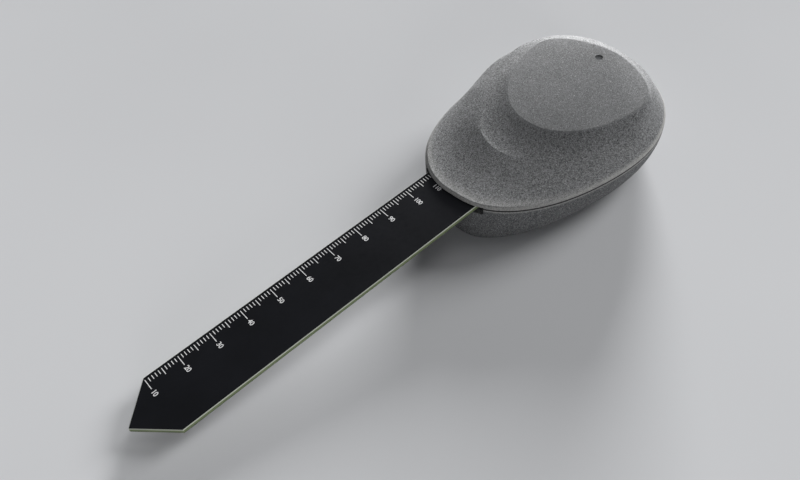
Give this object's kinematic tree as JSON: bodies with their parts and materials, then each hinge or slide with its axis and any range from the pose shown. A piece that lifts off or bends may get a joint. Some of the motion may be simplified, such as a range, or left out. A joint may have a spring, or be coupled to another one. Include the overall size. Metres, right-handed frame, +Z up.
{
  "type": "soil moisture sensor",
  "caption": "Soil moisture sensor with a pointed circuit-board blade, a printed millimetre scale and a pebble-shaped housing that holds cells and a radio.",
  "frame": {"origin": "centre of the flat underside that the head rests on", "axes": "+X along the head from the blade side to the rear, +Z up, blade tip towards -X"},
  "size_m": [0.1952, 0.06, 0.0276],
  "materials": {
    "housing": "grainy, matt",
    "solder_mask": "satin",
    "seal_rubber": "matt",
    "steel": "plain",
    "insert_brass": "knurled",
    "holder_plastic": "matt",
    "cell_sleeve": null,
    "contact_spring": "nickel plated",
    "clear_plastic": "clear",
    "tinplate": "tinned",
    "chip_black": "matt",
    "ceramic": "matt",
    "capacitor_body": "satin",
    "lamp": "diffuse",
    "switch_plastic": "satin"
  },
  "bodies": {
    "base": {"base_shell": "housing", "case_seal": "seal_rubber", "case_screws": "steel"},
    "cover_assembly": {"top_cover": "housing", "sensor_board": "solder_mask", "radio_board": "solder_mask", "blade_seal": "seal_rubber", "board_screws": "steel", "thread_inserts": "insert_brass", "battery_holder": "holder_plastic", "battery_cell_left": "cell_sleeve", "battery_cell_right": "cell_sleeve", "contact_leaf_left": "contact_spring", "contact_leaf_right": "contact_spring", "contact_bridge": "contact_spring", "light_pipe": "clear_plastic", "radio_shield": "tinplate", "timing_crystal": "tinplate", "microcontroller": "chip_black", "sense_amplifier": "chip_black", "voltage_regulator": "chip_black", "chip_antenna": "ceramic", "bulk_capacitor": "capacitor_body", "status_led": "lamp", "switch_body": "switch_plastic"},
    "pairing_button": {"switch_plunger": "switch_plastic"}
  },
  "joints": [
    {"name": "cover_lift", "type": "slide", "parent": "base", "child": "cover_assembly", "axis": [0, 0, 1], "range_m": [0, 0.03]},
    {"name": "button_press", "type": "slide", "parent": "cover_assembly", "child": "pairing_button", "axis": [-0.0872, 0, 0.9962], "range_m": [0, 0.00025], "stiffness_N_per_m": 1000}
  ]
}
